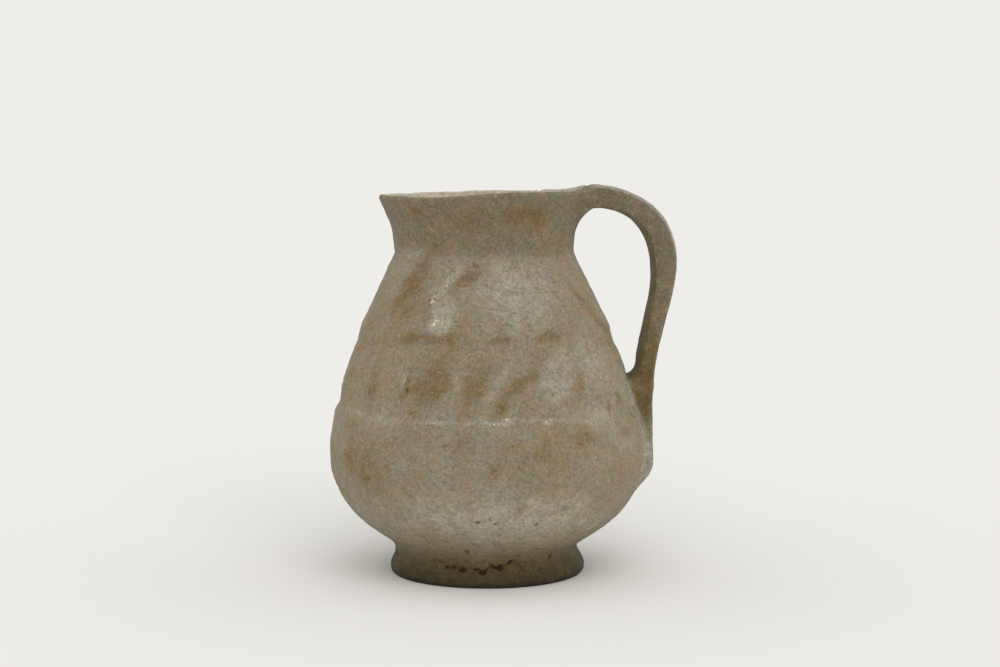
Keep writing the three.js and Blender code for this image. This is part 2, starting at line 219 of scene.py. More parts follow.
def fired_clay(name, slip, buff, brown, cracks=(), darker_from=None):
    """Old fired clay: worn pale slip over buff, brown stains, crust, grit, soil and painted shade low down,
    and painted light where the marks carry it.
    """
    s = Shading(name)
    stain_and_shade_mark, pale_mark, dark_mark, painted_light_mark = s.marks()
    place = s.tree.nodes.new("ShaderNodeSeparateXYZ")
    s.link(s.where, place.inputs[0])
    height = place.outputs["Z"]

    # The patterns in the clay, from broad to fine.
    cloud = s.noise(19.0, 4.0, 0.55, 0.5)
    streaks = s.noise(1.0, 4.0, 0.6, 0.3, s.stretched((60.0, 60.0, 24.0), (0.0, 0.5, 0.0)))
    mottle = s.noise(110.0, 6.0, 0.72, 0.5)
    coarse = s.noise(300.0, 5.0, 0.75)
    grain = s.noise(760.0, 3.0, 0.8)
    ragged = s.math("MULTIPLY_ADD", mottle, 1.6, s.math("MULTIPLY_ADD", coarse, 0.9, -1.25))

    # Slip worn down to the buff clay, darker higher up (partly duller clay, partly painted shade on the
    # neck), then the pale and the brown marks.
    worn = s.math("MULTIPLY_ADD", streaks, 0.55, s.math("MULTIPLY", cloud, 0.65))
    worn = s.math("MULTIPLY_ADD", ragged, 0.6, worn)
    colour = s.mix(s.between(worn, 0.38, 0.78), slip, buff)
    if darker_from is not None:
        darker_above = s.math("MULTIPLY_ADD", ragged, 0.006, height)
        darker_above = s.between(darker_above, darker_from, darker_from + 0.011)
        colour = s.mix(s.math("MULTIPLY", darker_above, 0.75), colour, tone(115, 106, 85))
    pale = s.math("MULTIPLY_ADD", ragged, 0.6, pale_mark)
    colour = s.mix(s.math("MULTIPLY", s.between(pale, 0.05, 1.05), 0.75), colour, tone(167, 163, 150))
    # Brown marks: stains, and painted shade where the marks carry it, at the neck's base and on the strap's
    # side by the belly.
    stain_and_shade = s.math("MULTIPLY_ADD", s.between(streaks, 0.48, 0.8), 0.3, stain_and_shade_mark)
    stain_and_shade = s.math("MULTIPLY_ADD", ragged, 1.1, stain_and_shade)
    colour = s.mix(s.between(stain_and_shade, 0.02, 1.1), colour, brown)

    # Faint hues, rust in the darkest stains, and pale crust.
    pink = s.between(s.noise(150.0, 2.0, 0.6, 0.6), 0.5, 0.72)
    colour = s.mix(s.math("MULTIPLY", pink, 0.56), colour, tone(148, 121, 100))
    olive = s.between(s.noise(170.0, 2.0, 0.6, 0.4), 0.5, 0.72)
    colour = s.mix(s.math("MULTIPLY", olive, 0.56), colour, tone(125, 127, 98))
    rust = s.math("MULTIPLY", s.between(s.math("MULTIPLY_ADD", coarse, 1.8, stain_and_shade), 1.3, 2.2), 0.45)
    colour = s.mix(rust, colour, tone(114, 92, 56))
    flecks = s.between(s.noise(560.0, 3.0, 0.7, 0.5), 0.47, 0.57)
    crusted = s.math("MULTIPLY_ADD", ragged, 0.8, pale_mark)
    crust = s.math("MULTIPLY", flecks, s.between(crusted, 1.0, 1.5))
    colour = s.mix(s.math("MULTIPLY", crust, 0.85), colour, tone(212, 204, 182))

    # Grit, hair cracks, soil with painted shade near the table, a painted contact shadow at the bottom
    # edge, soil in the cavities, and painted light inside the rim.
    speck = s.math("MULTIPLY", s.dots(430.0, 0.24), s.between(mottle, 0.42, 0.6))
    colour = s.mix(s.math("MULTIPLY", speck, 0.42), colour, tone(84, 68, 42))
    light_speck = s.math("MULTIPLY", s.dots(370.0, 0.22), s.between(coarse, 0.45, 0.6))
    colour = s.mix(s.math("MULTIPLY", light_speck, 0.38), colour, tone(184, 177, 160))
    split = 0.0
    for run in cracks:
        split = s.math("MAXIMUM", split, s.crack(run))
    split = s.math("MULTIPLY", split, s.between(coarse, 0.3, 0.55))
    colour = s.mix(s.math("MULTIPLY", split, 0.5), colour, tone(104, 84, 58))
    # Darker towards the table: partly soil, partly painted shade under the belly and round the foot.
    low = s.between(s.math("MULTIPLY_ADD", ragged, 0.008, height), 0.024, 0.001)
    colour = s.mix(s.math("MULTIPLY", low, 0.95), colour, tone(55, 46, 18))
    # Painted contact shadow: near black along the bottom few millimetres, where the foot meets the table.
    painted_contact_shadow = s.between(s.math("MULTIPLY_ADD", ragged, 0.003, height), 0.0034, 0.0)
    colour = s.mix(s.math("MULTIPLY", painted_contact_shadow, 0.8), colour, tone(24, 19, 9))
    dark = s.math("MULTIPLY_ADD", ragged, 1.3, dark_mark)
    colour = s.mix(s.math("MULTIPLY", s.between(dark, 0.2, 0.7), 0.75), colour, tone(84, 62, 27))
    colour = s.mix(s.math("MULTIPLY", s.between(dark, 0.6, 1.15), 0.95), colour, tone(34, 22, 5))
    # Painted light: the inside of the rim is painted pale cream, standing in for the light on the far inner
    # wall.
    colour = s.mix(painted_light_mark, colour, tone(186, 178, 161))

    # The fine unevenness of all these tones.
    shade = s.math("MULTIPLY_ADD", mottle, 0.6, -0.495)
    shade = s.math("MULTIPLY_ADD", coarse, 0.9, shade)
    shade = s.math("MULTIPLY_ADD", grain, 1.6, shade)
    grey_shade = s.tree.nodes.new("ShaderNodeCombineColor")
    for socket in grey_shade.inputs:
        s.link(shade, socket)
    colour = s.mix(1.0, colour, grey_shade.outputs[0], "MULTIPLY")
    s.link(colour, s.shader.inputs["Base Color"])

    s.link(s.math("MULTIPLY_ADD", coarse, 0.3, s.math("MULTIPLY_ADD", crust, 0.2, 0.58), clamp=True),
           s.shader.inputs["Roughness"])
    s.shader.inputs["Specular IOR Level"].default_value = 0.3
    s.shader.inputs["Diffuse Roughness"].default_value = 1.0

    # Relief: turning lines, mottle, pores and cracks, and the grit on top.
    lines = s.noise(1.0, 3.0, 0.6, where=s.stretched((9.0, 9.0, 460.0)))
    pores = s.between(s.noise(300.0, 1.0, 0.4), 0.3, 0.2)
    sunk = s.math("MULTIPLY", s.math("MULTIPLY_ADD", split, 0.5, pores), -1.0)
    relief = s.bump(lines, 0.00025, 0.5)
    relief = s.bump(mottle, 0.0016, 0.8, relief)
    relief = s.bump(sunk, 0.0003, 0.7, relief)
    relief = s.bump(coarse, 0.0008, 0.7, relief)
    relief = s.bump(s.math("ADD", grain, crust), 0.0005, 0.9, relief)
    s.link(relief, s.shader.inputs["Normal"])
    return s.material


def wheel_tree():
    """The potter's wheel: turns an upright outline, drawn as a line of points, into clay."""
    tree = bpy.data.node_groups.new("wheel", "GeometryNodeTree")
    sockets = {}
    for label, kind in (("Outline", "NodeSocketGeometry"), ("Steps Round", "NodeSocketInt"),
                        ("Hand Wobble", "NodeSocketFloat"), ("Wobble Size", "NodeSocketFloat"),
                        ("Seed", "NodeSocketFloat"), ("Clay", "NodeSocketMaterial")):
        sockets[label] = tree.interface.new_socket(label, in_out="INPUT", socket_type=kind).identifier
    tree.interface.new_socket("Turned", in_out="OUTPUT", socket_type="NodeSocketGeometry")

    def add(kind, **settings):
        node = tree.nodes.new(kind)
        for key, value in settings.items():
            setattr(node, key, value)
        return node

    def wire(source, socket):
        if isinstance(source, bpy.types.NodeSocket):
            tree.links.new(source, socket)
        else:
            socket.default_value = source

    def sums(operation, *values):
        node = add("ShaderNodeMath", operation=operation)
        for socket, value in zip(node.inputs, values):
            wire(value, socket)
        return node.outputs[0]

    given = add("NodeGroupInput").outputs
    size = add("GeometryNodeAttributeDomainSize", component="MESH")
    wire(given["Outline"], size.inputs[0])
    rows = size.outputs["Point Count"]
    grid = add("GeometryNodeMeshGrid")
    wire(sums("ADD", given["Steps Round"], 1.0), grid.inputs["Vertices X"])
    wire(rows, grid.inputs["Vertices Y"])
    for side in ("Size X", "Size Y"):
        grid.inputs[side].default_value = 1.0
    place = add("ShaderNodeSeparateXYZ")
    wire(add("GeometryNodeInputPosition").outputs[0], place.inputs[0])
    angle = sums("MULTIPLY", sums("ADD", place.outputs["X"], 0.5), 2 * math.pi)
    row = sums("ROUND", sums("MULTIPLY", sums("ADD", place.outputs["Y"], 0.5), sums("SUBTRACT", rows, 1.0)))
    picked = add("GeometryNodeSampleIndex", data_type="FLOAT_VECTOR", domain="POINT")
    wire(given["Outline"], picked.inputs["Geometry"])
    wire(add("GeometryNodeInputPosition").outputs[0],
         next(s for s in picked.inputs if s.name == "Value" and s.enabled))
    wire(row, picked.inputs["Index"])
    outline = add("ShaderNodeSeparateXYZ")
    wire(next(s for s in picked.outputs if s.enabled), outline.inputs[0])
    radius, height = outline.outputs["X"], outline.outputs["Z"]

    def on_circle(reach):
        spot = add("ShaderNodeCombineXYZ")
        wire(sums("MULTIPLY", reach, sums("COSINE", angle)), spot.inputs["X"])
        wire(sums("MULTIPLY", reach, sums("SINE", angle)), spot.inputs["Y"])
        wire(height, spot.inputs["Z"])
        return spot.outputs[0]

    hand = add("ShaderNodeTexNoise", noise_dimensions="4D")
    wire(on_circle(radius), hand.inputs["Vector"])
    wire(given["Seed"], hand.inputs["W"])
    wire(given["Wobble Size"], hand.inputs["Scale"])
    hand.inputs["Detail"].default_value = 2.0
    push = sums("MULTIPLY", sums("SUBTRACT", hand.outputs["Fac"], 0.5), given["Hand Wobble"])
    fade = sums("MINIMUM", sums("DIVIDE", radius, 0.02), 1.0)
    shaped = add("GeometryNodeSetPosition")
    wire(grid.outputs["Mesh"], shaped.inputs["Geometry"])
    wire(on_circle(sums("ADD", radius, sums("MULTIPLY", push, fade))), shaped.inputs["Position"])
    closed = add("GeometryNodeMergeByDistance")
    wire(shaped.outputs[0], closed.inputs["Geometry"])
    closed.inputs["Distance"].default_value = 0.000002
    whole = add("GeometryNodeRealizeInstances")
    wire(closed.outputs[0], whole.inputs[0])
    finish = add("GeometryNodeSetMaterial")
    wire(whole.outputs[0], finish.inputs["Geometry"])
    wire(given["Clay"], finish.inputs["Material"])
    wire(finish.outputs[0], add("NodeGroupOutput").inputs[0])
    return tree, sockets


wheel, wheel_sockets = wheel_tree()
steps_round = 448
hand_wobble = 0.8 * MM
wobble_size = 24.0
wobble_seed = 4.0
sharp_corner = math.radians(50)

# The set of the fired jug: the body leans back above its widest line, and the rim is
# tilted and pulled up where the handle was pressed on.
foot_height = foot_high[2] / MM
lower_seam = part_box("lower_body")[1][2] / MM
upper_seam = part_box("middle_body")[1][2] / MM
neck_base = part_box("shoulder")[1][2] / MM
belly_height = 53.5
rim_height = 169.4
rim_radius = 46.3
rim_tilt = 0.8
handle_lift = 2.5
handle_lift_spread = 44.0
lean = math.tan(math.radians(0.84))


def rim_rise(x, y, z):
    """How far the neck's clay at a place has risen, in millimetres."""
    lift = handle_lift * (1 - smooth(np.abs(np.degrees(np.arctan2(y, x))), 0.0, handle_lift_spread))
    return smooth(z, neck_base, rim_height) * (rim_tilt * x / rim_radius + lift)


def as_fired(points, rises=True):
    """Places on the jug as thrown, in millimetres, turned into metres on the fired jug."""
    x, y, z = points.T
    raised = z + (rim_rise(x, y, z) if rises else 0.0)
    leaning = x - lean * np.maximum(z - belly_height, 0.0)
    return np.column_stack([axis_x + leaning * MM, y * MM, raised * MM])


# Where the jug is stained, with a band of painted shade and lines of painted highlight among the marks.
# Each mark is its angle round the jug in degrees (the handle at 0, the front at -90), its height, half its
# angle, half its height, how far it slants in degrees for a millimetre of height, and how strong it is.
BROWN, PALE, DARK, PAINTED_LIGHT = 0, 1, 2, 3
stains_and_painted_light = {
    BROWN: [
        (-138, 128, 8, 14, 0.7, 1.0), (-129, 139, 10, 5, 0.0, 0.9), (-119, 122, 7, 12, 0.3, 0.5),
        (-101, 134, 5, 7, 0.9, 0.95), (-122, 110, 15, 3.5, 0.0, 0.95), (-85, 110, 7, 2.6, 0.0, 0.85),
        (-62, 110, 9, 2.6, 0.0, 0.8), (-33, 125, 6, 12, -0.8, 0.75), (-22, 112, 6, 9, -0.8, 0.75),
        (-142, 88, 4, 14, 0.2, 0.7), (-125, 90, 3, 8, 0.3, 0.8), (-113, 90, 9, 13, 0.0, 0.85),
        (-96, 90, 5, 13, 0.5, 0.75), (-77, 90, 5.5, 13, 0.85, 0.85), (-53, 89, 5, 11, 0.5, 0.45),
        (-27, 83.2, 3, 4, 0.0, 0.8), (-37, 81.2, 2.5, 2.5, 0.0, 0.85), (-105, 66, 34, 5, 0.0, 0.5),
        (-142, 56, 24, 17, 0.0, 0.5), (-84, 60, 26, 9, 0.3, 0.4), (-35, 50, 12, 12, 0.0, 0.4),
        (-66, 161, 19, 5, 0.3, 0.95), (-137, 163, 12, 5, 0.0, 0.5), (-96, 156, 26, 9, 0.3, 0.5),
        # The wide band at 146 mm round the front is partly olive clay and partly painted shade, easing the
        # step in light at the base of the neck.
        (-92, 146, 60, 4.0, 0.0, 0.45), (-160, 100, 12, 30, 0.2, 0.5), (-118, 26, 16, 6, 0.0, 0.4),
        (60, 120, 18, 16, 0.5, 0.7), (120, 92, 16, 12, -0.4, 0.7), (150, 140, 14, 10, 0.3, 0.6),
        (95, 58, 26, 12, 0.0, 0.6), (35, 88, 9, 12, -0.5, 0.6), (80, 160, 22, 7, 0.0, 0.5),
        (170, 50, 20, 14, 0.0, 0.5), (100, 112, 14, 3, 0.0, 0.6), (78, 86, 6, 11, 0.6, 0.7),
        (-54, 68, 14, 5.0, 0.0, 0.5), (-30, 69, 8, 4.5, 0.0, 0.55), (-130, 126, 13, 13, 0.3, 0.55),
    ],
    PALE: [
        (-143, 143.5, 14, 3, 0.0, 0.7), (-76, 127, 27, 17, 0.0, 0.75), (-115, 125, 7, 12, 0.3, 0.5),
        (-113, 119, 5.0, 6, 0.0, 1.75), (-111, 131, 3.5, 7, 0.3, 1.6), (-117, 124, 5, 6, 0.0, 1.4),
        (-63, 91, 6, 14, 0.5, 0.8), (-86, 92, 4, 13, 0.6, 0.6), (-103, 92, 3.5, 13, 0.3, 0.6),
        # The narrow pale marks at 75 to 77 mm run along the lower seam's rounded edge: partly pale crust,
        # partly a painted highlight.
        (-88, 34, 46, 12, 0.0, 1.15), (-84, 76.5, 50, 1.8, 0.0, 0.5), (-69, 75.2, 1.6, 0.9, 0.0, 2.6),
        (-88, 75.6, 7, 0.8, 0.0, 2.0), (-81, 77.2, 4, 0.8, 0.3, 2.0), (-110, 75.2, 7, 0.5, 0.0, 1.7),
        (-99, 75.2, 4, 0.5, 0.0, 1.5), (-50, 76.6, 12, 1.4, 0.0, 0.8),
        (-45, 80.0, 16, 3.5, 0.0, 0.7), (-150, 76.0, 20, 2.0, 0.0, 0.5), (-50, 30, 20, 7, 0.0, 0.8),
        (-45, 98, 12, 10, 0.0, 0.7), (-126, 93, 3, 4, 0.0, 1.25), (-132, 75, 12, 4, 0.0, 0.5),
        (50, 60, 20, 12, 0.0, 0.7), (130, 120, 20, 12, 0.2, 0.7), (100, 36, 30, 9, 0.0, 0.8),
        (75, 96, 10, 9, 0.5, 0.6), (160, 88, 10, 10, 0.0, 0.6), (112, 128, 4, 6, 0.0, 1.3),
    ],
    DARK: [
        (-96.5, 140.3, 0.8, 0.6, 0.0, 0.7), (-106, 66, 1.2, 1.6, 0.0, 0.8),
        (-64, 111.8, 1.3, 1.2, 0.0, 0.6), (-137, 49, 1.4, 2.0, 0.0, 0.6),
        (-90, 8, 16, 2.0, 0.15, 0.35), (65, 70, 1.8, 1.6, 0.0, 0.7), (-64, 161, 8, 2.5, 0.3, 0.25),
    ],
}

# Cavities, with their angle, height, half width, half height and depth in millimetres.
pits = [
    (-126, 10.7, 2.0, 0.7, 0.4), (-121, 10.3, 2.2, 0.7, 0.5), (-117, 8.8, 1.4, 1.1, 0.9),
    (-113, 7.9, 2.6, 1.0, 0.9), (-107, 7.5, 2.8, 1.2, 1.1), (-103, 7.9, 1.2, 0.8, 0.6),
    (-98.5, 7.9, 2.0, 1.0, 0.9), (-95, 7.1, 2.2, 1.3, 1.1), (-92, 8.0, 1.0, 0.8, 0.7),
    (-88, 8.8, 2.2, 1.1, 1.0), (-84, 8.7, 2.6, 1.4, 1.1), (-80.5, 9.6, 1.4, 0.8, 0.7),
    (-77, 10.7, 2.0, 1.2, 1.0), (-74, 11.2, 1.2, 1.2, 0.8), (-48.5, 11.8, 0.8, 1.9, 0.8),
    (-63, 17.1, 3.0, 0.6, 0.4), (-103, 16.6, 1.3, 0.9, 0.7), (-67, 11.0, 1.4, 0.8, 0.4),
    (-84, 5.2, 2.0, 0.8, 0.4), (-106, 66, 1.2, 1.4, 0.5), (-137, 49, 1.2, 1.6, 0.4),
    (-95, 33, 1.2, 0.8, 0.5), (-89, 32, 1.4, 0.8, 0.5), (-72, 31, 1.2, 1.0, 0.5),
    (-127, 95, 1.4, 2.0, 0.4), (-124, 88, 1.6, 1.6, 0.4), (-126, 83, 1.2, 1.2, 0.4),
    (150, 30, 1.6, 1.0, 0.6), (40, 8.0, 3.0, 1.0, 0.9), (120, 7.0, 2.4, 1.0, 0.9),
    (75, 52, 1.4, 1.2, 0.6), (92, 9.0, 3.6, 1.0, 0.8),
]

# Nicks and low places in the rim, and where it stands higher: angle, half angle and depth.
nicks = [
    (53, 1.6, 0.6), (-57, 1.6, 0.4), (-122, 16.0, 0.5), (-66, 32.0, -0.75), (66, 12.0, 0.3),
    (104, 5.0, 0.2), (138, 4.0, 0.3), (44, 10.0, -0.25),
]


def angle_off(angle, at_angle):
    """Degrees from one angle to another, the short way round."""
    return (angle - at_angle + 180.0) % 360.0 - 180.0


# The same unevenness in every run.
noise.seed_set(5)


def ragged_places(places, broad=4.0, fine=1.5):
    """The same places, shifted a little here and there, so that no mark has a clean edge."""
    shifts = np.array([noise.noise_vector(Vector(place) / 11.0) * broad
                       + noise.noise_vector(Vector(place) / 3.2) * fine for place in places])
    by_the_seam = np.exp(-((places[:, 2] - lower_seam) / 5.0) ** 2)
    shifts[:, 2] *= 1.0 - 0.75 * by_the_seam
    return places + shifts


def pitted(places):
    """How deep each place lies in a cavity, in millimetres."""
    angle = np.degrees(np.arctan2(places[:, 1], places[:, 0]))
    radius = np.hypot(places[:, 0], places[:, 1])
    deep = np.zeros(len(places))
    for at_angle, at_height, half_width, half_height, depth in pits:
        across = np.radians(angle_off(angle, at_angle)) * radius / half_width
        up = (places[:, 2] - at_height) / half_height
        deep = np.maximum(deep, depth * np.exp(-(across ** 2 + up ** 2) ** 1.5))
    return deep


def paint_marks(mesh, places, browned=0.0, paled=0.0, painted_light_inside=0.0, hollow=0.0):
    """Vertex colours that say where the clay is brown, pale or dark, and where light is painted inside the
    rim.
    """
    angle = np.degrees(np.arctan2(places[:, 1], places[:, 0]))
    colours = np.zeros((len(places), 4), dtype=np.float32)
    colours[:, BROWN] = browned
    colours[:, PALE] = paled
    colours[:, PAINTED_LIGHT] = painted_light_inside
    for channel, marks in stains_and_painted_light.items():
        for at_angle, at_height, half_angle, half_height, slant, strength in marks:
            up = places[:, 2] - at_height
            across = (angle_off(angle, at_angle) - slant * up) / half_angle
            spread = np.exp(-(across ** 2 + (up / half_height) ** 2))
            colours[:, channel] = np.maximum(colours[:, channel], strength * spread)
    colours[:, DARK] = np.maximum(colours[:, DARK], hollow)
    layer = mesh.color_attributes.new("marks", "FLOAT_COLOR", "POINT")
    layer.data.foreach_set("color", colours.ravel())


def seam_wander(angle, height):
    """How far the seams run below their turned line, most of all beside the handle."""
    wander = (0.45 * np.sin(np.radians(angle * 3 + 40)) + 0.3 * np.sin(np.radians(angle * 7))
              + 4.6 * smooth(angle, -70.0, -44.0) * smooth(angle, 60.0, 20.0))
    lower = wander * np.exp(-((height - lower_seam) / 9.0) ** 2)
    return lower - 0.5 * np.sin(np.radians(angle * 2 + 100)) * np.exp(-((height - 108.0) / 6.0) ** 2)


def weathered(places, hollow):
    """Hand and age: seams that wander, finger ridges, cavities, a fuller waist, a chipped rim."""
    x, y, z = places.T
    radius = np.hypot(x, y)
    angle = np.degrees(np.arctan2(y, x))
    grown = np.array([0.24 * noise.noise(Vector((px / 9, py / 9, pz / 4.5)))
                      + 0.14 * noise.noise(Vector((px / 3, py / 3, pz / 2.4)))
                      for px, py, pz in places])
    ridges = np.array([0.14 * noise.noise(Vector((turn / 70, height / 2.6, 3.0)))
                       for turn, height in zip(angle, z)])
    by_the_waist = np.exp(-((z - foot_height) / 3.0) ** 2) * smooth(radius, 36.0, 39.0)
    fuller = 1.3 * by_the_waist * smooth(-x, 25.0, 39.0)
    pushed = (grown + ridges) * smooth(radius, 12.0, 30.0) + fuller - hollow
    rim = smooth(z, rim_height - 5.0, rim_height - 0.5)
    chips = np.array([0.12 * noise.noise(Vector((px / 7, py / 7, 1.0)))
                      + 0.07 * noise.noise(Vector((px / 2, py / 2, 5.0)))
                      for px, py in zip(x, y)])
    for at_angle, half_angle, depth in nicks:
        chips = chips - depth * np.exp(-np.abs(angle_off(angle, at_angle) / half_angle) ** 3)
    chips = chips + 0.25 * np.maximum(smooth(x, -25.0, 5.0), smooth(x, -42.0, -46.0))
    share = 1 + pushed / np.maximum(radius, 1.0)
    return np.column_stack([x * share, y * share, z - seam_wander(angle, z) + rim * chips])


def thrown(name, outline, clay, painted_light_from=None):
    """Turns one section on the wheel, weathers and stains it, and gives it the jug's set."""
    line = bpy.data.meshes.new(name)
    points = [(radius * MM, 0.0, height * MM) for radius, height in outline]
    line.from_pydata(points, [(i, i + 1) for i in range(len(points) - 1)], [])
    piece = bpy.data.objects.new(name, line)
    bpy.context.scene.collection.objects.link(piece)
    on_wheel = piece.modifiers.new("wheel", "NODES")
    on_wheel.node_group = wheel
    on_wheel[wheel_sockets["Steps Round"]] = steps_round
    on_wheel[wheel_sockets["Hand Wobble"]] = hand_wobble
    on_wheel[wheel_sockets["Wobble Size"]] = wobble_size
    on_wheel[wheel_sockets["Seed"]] = wobble_seed
    on_wheel[wheel_sockets["Clay"]] = clay
    depsgraph = bpy.context.evaluated_depsgraph_get()
    mesh = bpy.data.meshes.new_from_object(piece.evaluated_get(depsgraph))
    piece.modifiers.remove(on_wheel)
    piece.data = mesh
    mesh.name = name
    places = np.empty(len(mesh.vertices) * 3)
    mesh.vertices.foreach_get("co", places)
    places = places.reshape(-1, 3) / MM
    hollow = pitted(ragged_places(places, 0.6, 1.1))
    painted_light_inside = 0.0
    # Painted light on the inside of the rim, from 0.8 mm inside the outer face.
    if painted_light_from is not None:
        face = np.interp(places[:, 2], painted_light_from[:, 1], painted_light_from[:, 0]) - 0.8
        painted_light_inside = smooth(places[:, 2], 150.0, 160.0) * (np.hypot(*places[:, :2].T) < face)
    paint_marks(mesh, ragged_places(places), painted_light_inside=painted_light_inside, hollow=1.3 * hollow)
    mesh.vertices.foreach_set("co", as_fired(weathered(places, hollow)).ravel())
    mesh.shade_smooth()
    mesh.set_sharp_from_angle(angle=sharp_corner)
    mesh.update()
    return piece


foot_radius = 43.5
foot_waist = 40.2
foot_hollow = 35.8
foot_outer = joined(
    bent((foot_radius - 2.2, 0.0), (foot_radius, 0.0), (foot_radius, 3.2), 8),
    swung((foot_radius, 3.2), (foot_radius, 6.6), (foot_waist, 8.6), (foot_waist, foot_height), 18),
)
foot_ring_outline = np.vstack([
    ruled((foot_hollow, 0.0), foot_outer[0], 8), foot_outer[1:],
    ruled(foot_outer[-1], (foot_hollow - 2.5, foot_height), 6)[1:],
    ruled((foot_hollow - 2.5, foot_height), (foot_hollow, 0.0), 10)[1:],
])
# The foot's tones are written darker than the body's: partly soil, partly painted shade under the belly.
foot_clay = fired_clay("foot_clay", tone(136, 126, 101), tone(130, 116, 82), tone(108, 89, 50))
foot_ring = thrown("foot_ring_clay", foot_ring_outline, foot_clay)
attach(foot_ring, "root")
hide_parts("foot_ring")

# The belly
# The thrown bowl with its floor: undercut above the foot, widest low down, and rounded
# over to the lower seam, where the worn edge is pale, partly with crust and partly with a painted
# highlight.
belly_radius = 70.4
belly_edge = (68.6, 68.5)
neck_radius = 39.9
wall = 5.0


def on_wall(height, swell):
    """A place on the upper wall, by how far it stands outside a straight line to the neck."""
    share = (height - belly_edge[1]) / (neck_base - belly_edge[1])
    return (belly_edge[0] + (neck_radius - belly_edge[0]) * share + swell, height)


def inside(point):
    """The place one wall further in."""
    return (point[0] - wall, point[1])


lower_seam_place = on_wall(lower_seam, -0.1)
belly_outer = joined(
    swung((foot_waist, foot_height), (foot_waist, 13.6), (46.6, 17.0), (52.4, 21.4), 18),
    swung((52.4, 21.4), (60.3, 26.6), (belly_radius, 38.6), (belly_radius, belly_height), 46),
    bent((belly_radius, belly_height), (belly_radius, 61.0), belly_edge, 17),
    bent(belly_edge, (68.3, 73.0), lower_seam_place, 12),
)
belly_hollow = joined(
    bent((0.0, 19.0), (34.6, 19.0), (49.1, 26.7), 16),
    swung((49.1, 26.7), (57.7, 31.7), (65.4, 46.0), (65.4, belly_height), 14),
    bent((65.4, belly_height), (65.4, 68.5), inside(lower_seam_place), 10),
)
lower_body_outline = np.vstack([
    bent((0.0, 13.5), (16.6, 13.5), (foot_hollow - 2.5, foot_height), 8),
    belly_outer, belly_hollow[::-1],
])
slip_grey = tone(147, 139, 124)
buff_clay = tone(139, 125, 98)
brown_stain_and_shade = tone(121, 101, 67)
body_clay = fired_clay("body_clay", slip_grey, buff_clay, brown_stain_and_shade, cracks=(
    ((-12, 133.2), (-6, 130.0), (7.5, 128.0), (24, 128.3)),
    ((-16.5, 124.2), (-11, 122.3), (2, 120.3), (11, 117.4)),
    ((16, 111.8), (22, 113.6), (30, 116.4)),
), darker_from=138 * MM)
lower_body = thrown("lower_body_clay", lower_body_outline, body_clay)
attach(lower_body, "root")
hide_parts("lower_body")

# The band
# The stretch of wall between the two turned grooves, thrown with the bowl and trimmed.
lower_groove = on_wall(83.7, 1.6)
band_edge = on_wall(101.4, 2.2)
upper_seam_place = on_wall(upper_seam, 1.8)
band_bulge = ((lower_groove[0] + band_edge[0]) / 2 + 0.85, (lower_groove[1] + band_edge[1]) / 2)
band_outer = joined(
    ruled(lower_seam_place, lower_groove, 9),
    bent(lower_groove, band_bulge, band_edge, 22),
    ruled(band_edge, upper_seam_place, 4),
)
band_hollow = ruled(inside(lower_seam_place), inside(upper_seam_place), 12)
band_outline = np.vstack([band_outer, band_hollow[::-1], band_outer[:1]])
middle_body = thrown("middle_body_clay", band_outline, body_clay)
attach(middle_body, "root")
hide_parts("middle_body")

# The shoulder
# A plain cone from the upper groove to the base of the neck.
upper_groove = on_wall(109.4, 2.7)
cone_start = on_wall(117.2, 2.2)
cone_end = on_wall(137.2, 0.4)
neck_base_place = on_wall(neck_base, 0.0)
shoulder_outer = joined(
    ruled(upper_seam_place, upper_groove, 6),
    bent(upper_groove, on_wall(112.9, 3.0), cone_start, 10),
    ruled(cone_start, cone_end, 24),
    bent(cone_end, (40.95, 140.1), neck_base_place, 8),
)
shoulder_hollow = joined(
    ruled(inside(upper_seam_place), inside(cone_end), 14),
    bent(inside(cone_end), (34.9, 140.25), inside(neck_base_place), 6),
)
shoulder_outline = np.vstack([shoulder_outer, shoulder_hollow[::-1], shoulder_outer[:1]])
shoulder = thrown("shoulder_clay", shoulder_outline, body_clay)
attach(shoulder, "root")
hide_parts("shoulder")

# The neck and rim
# A waisted neck that flares to a thin, uneven rim, worn and nicked along its edge.
rim_thickness = 2.8
lip = rim_thickness / 2
flare = (42.9, 160.1)
lip_turn = np.linspace(0.0, math.pi, 9)
lip_arc = np.column_stack([
    rim_radius - lip + lip * np.cos(lip_turn),
    rim_height - lip + lip * np.sin(lip_turn),
])
neck_waist = (neck_radius, 152.9)
neck_outer = joined(
    bent(neck_base_place, neck_waist, flare, 22),
    ruled(flare, (rim_radius, rim_height - lip), 12),
)
neck_hollow = joined(
    bent(inside(neck_base_place), inside(neck_waist), inside(flare), 18),
    ruled(inside(flare), (rim_radius - rim_thickness, rim_height - lip), 12),
)
neck_outline = np.vstack([neck_outer, lip_arc[1:-1], neck_hollow[::-1], neck_outer[:1]])
neck_clay = fired_clay("neck_clay", slip_grey, buff_clay, brown_stain_and_shade, darker_from=138 * MM)
# The neck's outer face up to the rim, for finding where light is painted inside it.
painted_light_face = np.vstack([neck_outer, (rim_radius - 0.9, rim_height)])
neck = thrown("neck_clay_piece", neck_outline, neck_clay, painted_light_face)
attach(neck, "root")
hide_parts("neck")

